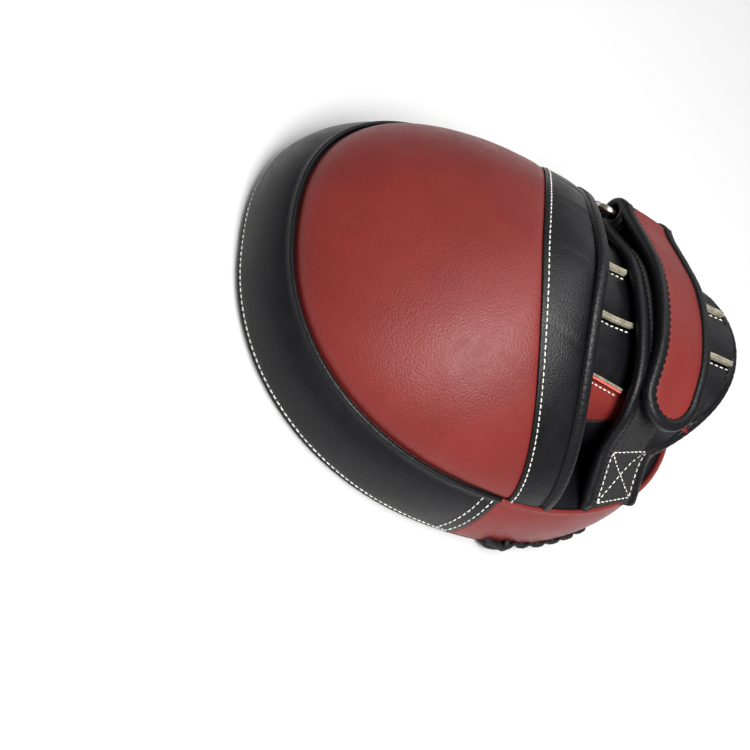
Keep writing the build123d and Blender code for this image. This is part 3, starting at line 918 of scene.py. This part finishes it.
pile_piece("loop_tape_pile", base, 22.0, base.size - 0.5, 15.0, 2.2, 0.7, "root", "loop_tape")
for side_name, w in (("finger", -18.0), ("wrist", 18.0)):
    name, half_wide = f"strap_base_border_{side_name}", base_roll / 2 + 0.2
    border = band_piece(name, base, s, w, 0.6, half_wide, 2.7, 2.5, 0.03)
    settle(border, black_leather, "root", "black_leather", "strap_base_border")
    ribbon_stitches(f"strap_base_stitches_{side_name}", base, s, w * 0.85, 2.9, "root", black_thread)

box_low, box_high, box_half = base.size - 31.5, base.size - 4.5, 13.0
corners = {
    "a": (box_low, -box_half), "b": (box_low, box_half), "c": (box_high, box_half), "d": (box_high, -box_half),
}
for pair in ("ab", "bc", "cd", "da", "ac", "bd"):
    (s0, w0), (s1, w1) = corners[pair[0]], corners[pair[1]]
    sunk = 2.35 if pair in ("ac", "bd") else 2.6
    along, across = np.linspace(s0, s1, 60), np.linspace(w0, w1, 60)
    ribbon_stitches(f"strap_anchor_stitches_{pair}", base, along, across, sunk, "root",
                    white_thread, pitch=3.0)

# ---- The strap's tail ------------------------------------------------------------------------------------
# The strap turns round the ring bar and comes back over itself. Its outside is red leather
# inside a padded black roll that goes round the tip, and hook tape holds it down from below.
ring_y, bar_x, bar_z = -61.5, 70.0, 73.0
tail_width, tail_roll, fold_radius = 37.0, 6.0, 6.2
tail = Ribbon([
    (x, ring_y, z) for x, z in (
        (71.5, 79.1), (68.0, 80.0), (62.0, 82.3), (54.0, 86.2), (45.0, 90.6), (30.0, 97.2), (15.0, 100.8),
        (0.0, 102.0), (-15.0, 101.0), (-28.0, 96.9), (-38.0, 92.6), (-50.0, 88.6))
])
tip_radius = tail_width / 2
tip_s = tail.size - tip_radius


def round_end(inset, s_start, count=260):
    """Line (s, w) along one edge of the tail, round its tip and back along the other."""
    radius = tip_radius - inset
    arc = np.linspace(-pi / 2, pi / 2, 60)
    s = np.concatenate([[s_start], tip_s + radius * np.cos(arc), [s_start]])
    w = np.concatenate([[-radius], radius * np.sin(arc), [radius]])
    even = walk(np.stack([s, w, s * 0], axis=1), count)
    return even[:, 0], even[:, 1]


def tongue_rows(radius, count):
    """Stations (s, half width) along the tail: a straight run, then the round end."""
    into_tip = radius * np.sin(np.linspace(0, 1, 30)[1:] * pi / 2 * 0.985)
    stations = np.concatenate([np.linspace(0, tip_s, count), tip_s + into_tip])
    return [(at, radius if at < tip_s else max(radius**2 - (at - tip_s) ** 2, 0.01) ** 0.5) for at in stations]


grid = []
inner = tip_radius - tail_roll + 0.9
for at, half in tongue_rows(inner, 150):
    share = np.linspace(-1, 1, 24)
    w = half * share
    crown = 0.9 * (1 - share**4) * half / inner + 0.12 * ripple(at / 9 + w * 0, w / 9, 4)
    grid.append(tail.point(np.full(24, at), w, 1.7 + crown)[0])
red_strip = grid_mesh("tail_panel_skin", np.stack(grid)[:, ::-1])
thicken(red_strip, 1.2)
settle(red_strip, red_leather, "tail", "red_leather", "tail_panel")

grid = []
for at, half in tongue_rows(tip_radius - 2, 90):
    grid.append(tail.point(np.full(16, at), half * np.linspace(-1, 1, 16), -0.9)[0])
tail_back = grid_mesh("strap_tail_web", np.stack(grid))
thicken(tail_back, 2.4)
settle(tail_back, black_leather, "tail", "black_leather", "strap_tail")

s, w = round_end(tail_roll / 2, 0.5, 520)
tail_border = band_piece("tail_border_roll", tail, s, w, 0.5, tail_roll / 2 + 0.25, 3.1, 2.4, 0.035)
settle(tail_border, black_leather, "tail", "black_leather", "tail_border")
s, w = round_end(tail_roll - 0.3, 0.5, 900)
ribbon_stitches("tail_border_stitches", tail, s, w, 2.75, "tail", black_thread, pitch=3.6)
hook_low, hook_high = tip_s - 52.0, tip_s + 6.0
pile_piece("hook_tape_pile", tail, hook_low, hook_high, 10.5, -1.6, 0.45, "tail", "hook_tape", under=True)

around = np.linspace(0, 2 * pi, 73)[:-1]
fold_bands = (
    ("web", 0.0, 13.5, 1.5, 8.0), ("finger_roll", -15.5, 3.1, 2.5, 2.6), ("wrist_roll", 15.5, 3.1, 2.5, 2.6),
)
for part, w, half, deep, square in fold_bands:
    ups = np.stack([np.cos(around), around * 0, np.sin(around)], axis=1)
    centres = np.array([bar_x, ring_y + w, bar_z]) + fold_radius * ups
    loop = roll(f"strap_fold_{part}", np.vstack([centres, centres[:1]]), np.vstack([ups, ups[:1]]),
                np.tile([0.0, 1.0, 0.0], (73, 1)), half, deep, square, 0.0, caps=False)
    settle(loop, black_leather, "tail", "black_leather")

# ---- The ring tab -------------------------------------------------------------------------------
# A doubled strip of black leather holds the ring. It wraps the lower ring bar, spreads towards
# the board's seam and is sewn down there with white rows.
tab = Ribbon([
    (73.0, ring_y, 44.6), (74.6, ring_y, 51.0), (75.0, ring_y, 58.0), (77.0, ring_y, 62.0), (80.6, ring_y, 62.3),
    (83.2, ring_y, 59.0), (83.6, ring_y, 52.0), (84.6, ring_y, 46.5), (86.0, ring_y, 43.2),
])
s = np.linspace(0, tab.size, 160)
flare = 16.5 + 6.5 * np.clip((s - 28) / (tab.size - 28), 0, 1) ** 1.3
tab_piece = band_piece("ring_tab_strip", tab, s, 0, 0, flare, 1.0, 9.0)
settle(tab_piece, black_leather, "root", "black_leather", "ring_tab")
for side_name, sign in (("finger", 1), ("wrist", -1)):
    run = np.linspace(tab.size - 21, tab.size - 1, 80)
    half = 12.5 + 6.5 * ((run - run[0]) / 20) ** 1.3
    name = f"ring_tab_stitches_{side_name}"
    ribbon_stitches(name, tab, run, sign * half, 1.2, "root", white_thread, pitch=3.6)
top_row, across = np.full(60, tab.size - 21), np.linspace(-12.5, 12.5, 60)
ribbon_stitches("ring_tab_stitches_top", tab, top_row, across, 1.2, "root", white_thread, pitch=3.6)

# ---- The strap ring -----------------------------------------------------------------------------
# A rounded rectangle of nickel-plated steel wire. The plating varies at random between bright
# and slightly yellowed.
ring_metal, tree, place = new_material("nickel_plated_wire")
haze = add_node(tree, "ShaderNodeTexNoise", {"Scale": 1 / (5 * mm), "Detail": 5.0}, Vector=place)
colour = two_tone(tree, haze.outputs["Fac"], "#8f8264", "#d9d4c8", 0.35, 0.6)
scuff = add_node(tree, "ShaderNodeTexNoise", {"Scale": 1 / (0.6 * mm), "Detail": 3.0}, Vector=place)
rough = add_node(tree, "ShaderNodeMapRange", {"To Min": 0.16, "To Max": 0.34}, Value=scuff.outputs["Fac"])
skin = add_node(tree, "ShaderNodeBsdfPrincipled", {"Metallic": 1.0},
                Base_Color=colour, Roughness=rough.outputs[0])
add_node(tree, "ShaderNodeOutputMaterial", Surface=skin.outputs[0])
ring_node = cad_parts["strap_ring"]
for material_slot in ring_node.material_slots:
    material_slot.material = ring_metal

# ---- The striking face --------------------------------------------------------------------------
# The flat side that is punched: a black leather rim round a red-brown centre disc, both ringed
# with white stitching. The mitt lies on it.
rings = np.linspace(0, 1, 40)
turns = np.linspace(0, 2 * pi, 240, endpoint=False)
patch_radius = 46.0
grid = []
for share in rings:
    x, y = outline(turns, 1.5)
    inner_x, inner_y = patch_radius * np.cos(turns), patch_radius * np.sin(turns)
    x, y = inner_x + (x - inner_x) * share, inner_y + (y - inner_y) * share
    reach = np.hypot(*(np.array(outline(turns, 1.5)) - [x, y]))
    z = 0.02 + 1.3 * np.exp(-reach / 1.1) + 0.5 * np.exp(-share * 60 / 1.2)
    grid.append(np.stack([x, y, z], axis=1))
face_skin = grid_mesh("strike_face_skin", np.stack(grid), loop_columns=True)
thicken(face_skin, 1.6)
settle(face_skin, black_leather, "root", "black_leather", "strike_face", "impact_foam")
grid = []
for share in np.linspace(0.002, 1, 30):
    z = 0.02 + 0.5 * np.exp(-(1 - share) * patch_radius / 1.2)
    x, y = patch_radius * share * np.cos(turns), patch_radius * share * np.sin(turns)
    grid.append(np.stack([x, y, turns * 0 + z], axis=1))
patch = grid_mesh("strike_patch_skin", np.stack(grid), loop_columns=True)
thicken(patch, 1.6)
settle(patch, red_leather, "root", "red_leather", "strike_patch")
down = np.tile([0.0, 0, -1], (900, 1))
loop = np.linspace(0, 2 * pi, 900)
for name, radius in (("inner", patch_radius - 3.5), ("outer", patch_radius + 3.5)):
    spots = np.stack([radius * np.cos(loop), radius * np.sin(loop), loop * 0 + 0.25], axis=1)
    stitches(f"strike_stitches_{name}", spots, down, "root", white_thread, pitch=3.2)
x, y = outline(even_turns(0, 2 * pi, 900), 7.0)
stitches("strike_stitches_rim", np.stack([x, y, x * 0 + 0.25], axis=1), down, "root", white_thread, pitch=3.2)

# ---- The wrist lace -----------------------------------------------------------------------------
# A waxed black lace whips the red wall to the striking face round the wrist. It runs along the
# edge, and at each hole a turn of it crosses over, so it stands out in uneven lumps.
lace_wax = thread_material("waxed_black_lace", "#141416", "#08080a")
lace_turns = even_turns(pi + 0.22, 2 * pi - 0.22, 27)
lace_level = 0.16


def lace_strand(name, turns, levels, lift, wide, deep, pucker=0.0):
    """A strand of lace on the side wall."""
    spots, normals = wall_line(turns, levels)
    spots = spots + normals * np.reshape(lift, (-1, 1))
    side = unit(np.cross(unit(np.gradient(spots, axis=0)), normals))
    strand = roll(name, spots, normals, side, wide, deep, 2.0, pucker, 2.4)
    settle(strand, lace_wax, "root", "lace", "side_lace")


turns = np.linspace(lace_turns[0], lace_turns[-1], 700)
wander = 0.016 * np.sin(turns * 40) + 0.010 * np.sin(turns * 17)
lace_strand("side_lace_run", turns, lace_level + wander, 0.5, 1.7, 1.1, 0.25)
run = np.linspace(-0.5, 0.5, 14)
taper = 1 - (2 * run) ** 4
for number, turn in enumerate(lace_turns):
    for leg, lean in enumerate((1, -1)):
        here = turn + run * (6.5 + noise_seed.uniform(-1, 1)) / 110
        thick = (1.3 + noise_seed.uniform(-0.15, 0.2)) * (0.5 + 0.5 * taper)
        levels, lift = lace_level + 0.11 * run * lean, 1.9 * taper - 0.3
        lace_strand(f"side_lace_{number + 1}_{leg + 1}", here, levels, lift, thick, thick * 0.8)
knot_strands = ((0.17, 0.36, 0.26, 0.12), (0.19, 0.33, 0.09, 0.25), (0.27, 0.30, 0.30, 0.06))
for number, (start, end, low, high) in enumerate(knot_strands):
    here = pi + start + (end - start) * (run + 0.5)
    levels, lift = low + (high - low) * (run + 0.5), 2.6 * taper + 0.4 * number - 0.3
    thick = 0.5 + 0.5 * taper
    lace_strand(f"side_lace_knot_{number + 1}", here, levels, lift, 1.7 * thick, 1.4 * thick)

# ---- Camera, light and floor ------------------------------------------------------------------------
# A plain pale sweep, a broad key light, a weaker fill opposite and a top light, and a long lens
# that looks down on the hood from the fingertips' corner.
scene = bpy.context.scene
camera_data = bpy.data.cameras.new("camera")
camera_data.lens = 72.0
camera_data.sensor_width = 36.0
camera = bpy.data.objects.new("camera", camera_data)
scene.collection.objects.link(camera)
right, up, back = (0.083, -0.745, 0.662), (0.885, 0.360, 0.294), (-0.458, 0.562, 0.689)
turn = Matrix((right, up, back)).transposed().to_quaternion().normalized().to_matrix().to_4x4()
camera.matrix_world = Matrix.Translation(Vector((-361.0, 444.0, 493.0)) * mm) @ turn
scene.camera = camera
scene.view_settings.view_transform = "Standard"


def area_light(name, place, target, size, power):
    """A soft box that points at a place."""
    data = bpy.data.lights.new(name, "AREA")
    data.shape = "DISK"
    data.size = size
    data.energy = power
    lamp = bpy.data.objects.new(name, data)
    lamp.location = place
    lamp.rotation_euler = (Vector(target) - Vector(place)).to_track_quat("-Z", "Y").to_euler()
    scene.collection.objects.link(lamp)


area_light("key_light", (-0.62, 0.12, 1.0), (0, 0, 0.05), 0.6, 17)
area_light("fill_light", (0.9, -0.5, 0.9), (0, 0, 0.05), 1.2, 3.5)
area_light("top_light", (0.1, 0.2, 1.5), (0, 0, 0.05), 1.0, 9)

world = bpy.data.worlds.new("studio")
world.use_nodes = True
world.node_tree.nodes["Background"].inputs[0].default_value = linear("#f4f4f4")
world.node_tree.nodes["Background"].inputs[1].default_value = 0.28
scene.world = world

floor = grid_mesh("floor", np.array([[[x, y, -0.4] for x in (-3000, 3000)] for y in (3000, -3000)], float))
floor_paint = bpy.data.materials.new("floor_paper")
floor_paint.use_nodes = True
paper = floor_paint.node_tree.nodes["Principled BSDF"]
paper.inputs["Base Color"].default_value = linear("#dcdcdc")
paper.inputs["Roughness"].default_value = 0.8
floor.data.materials.append(floor_paint)
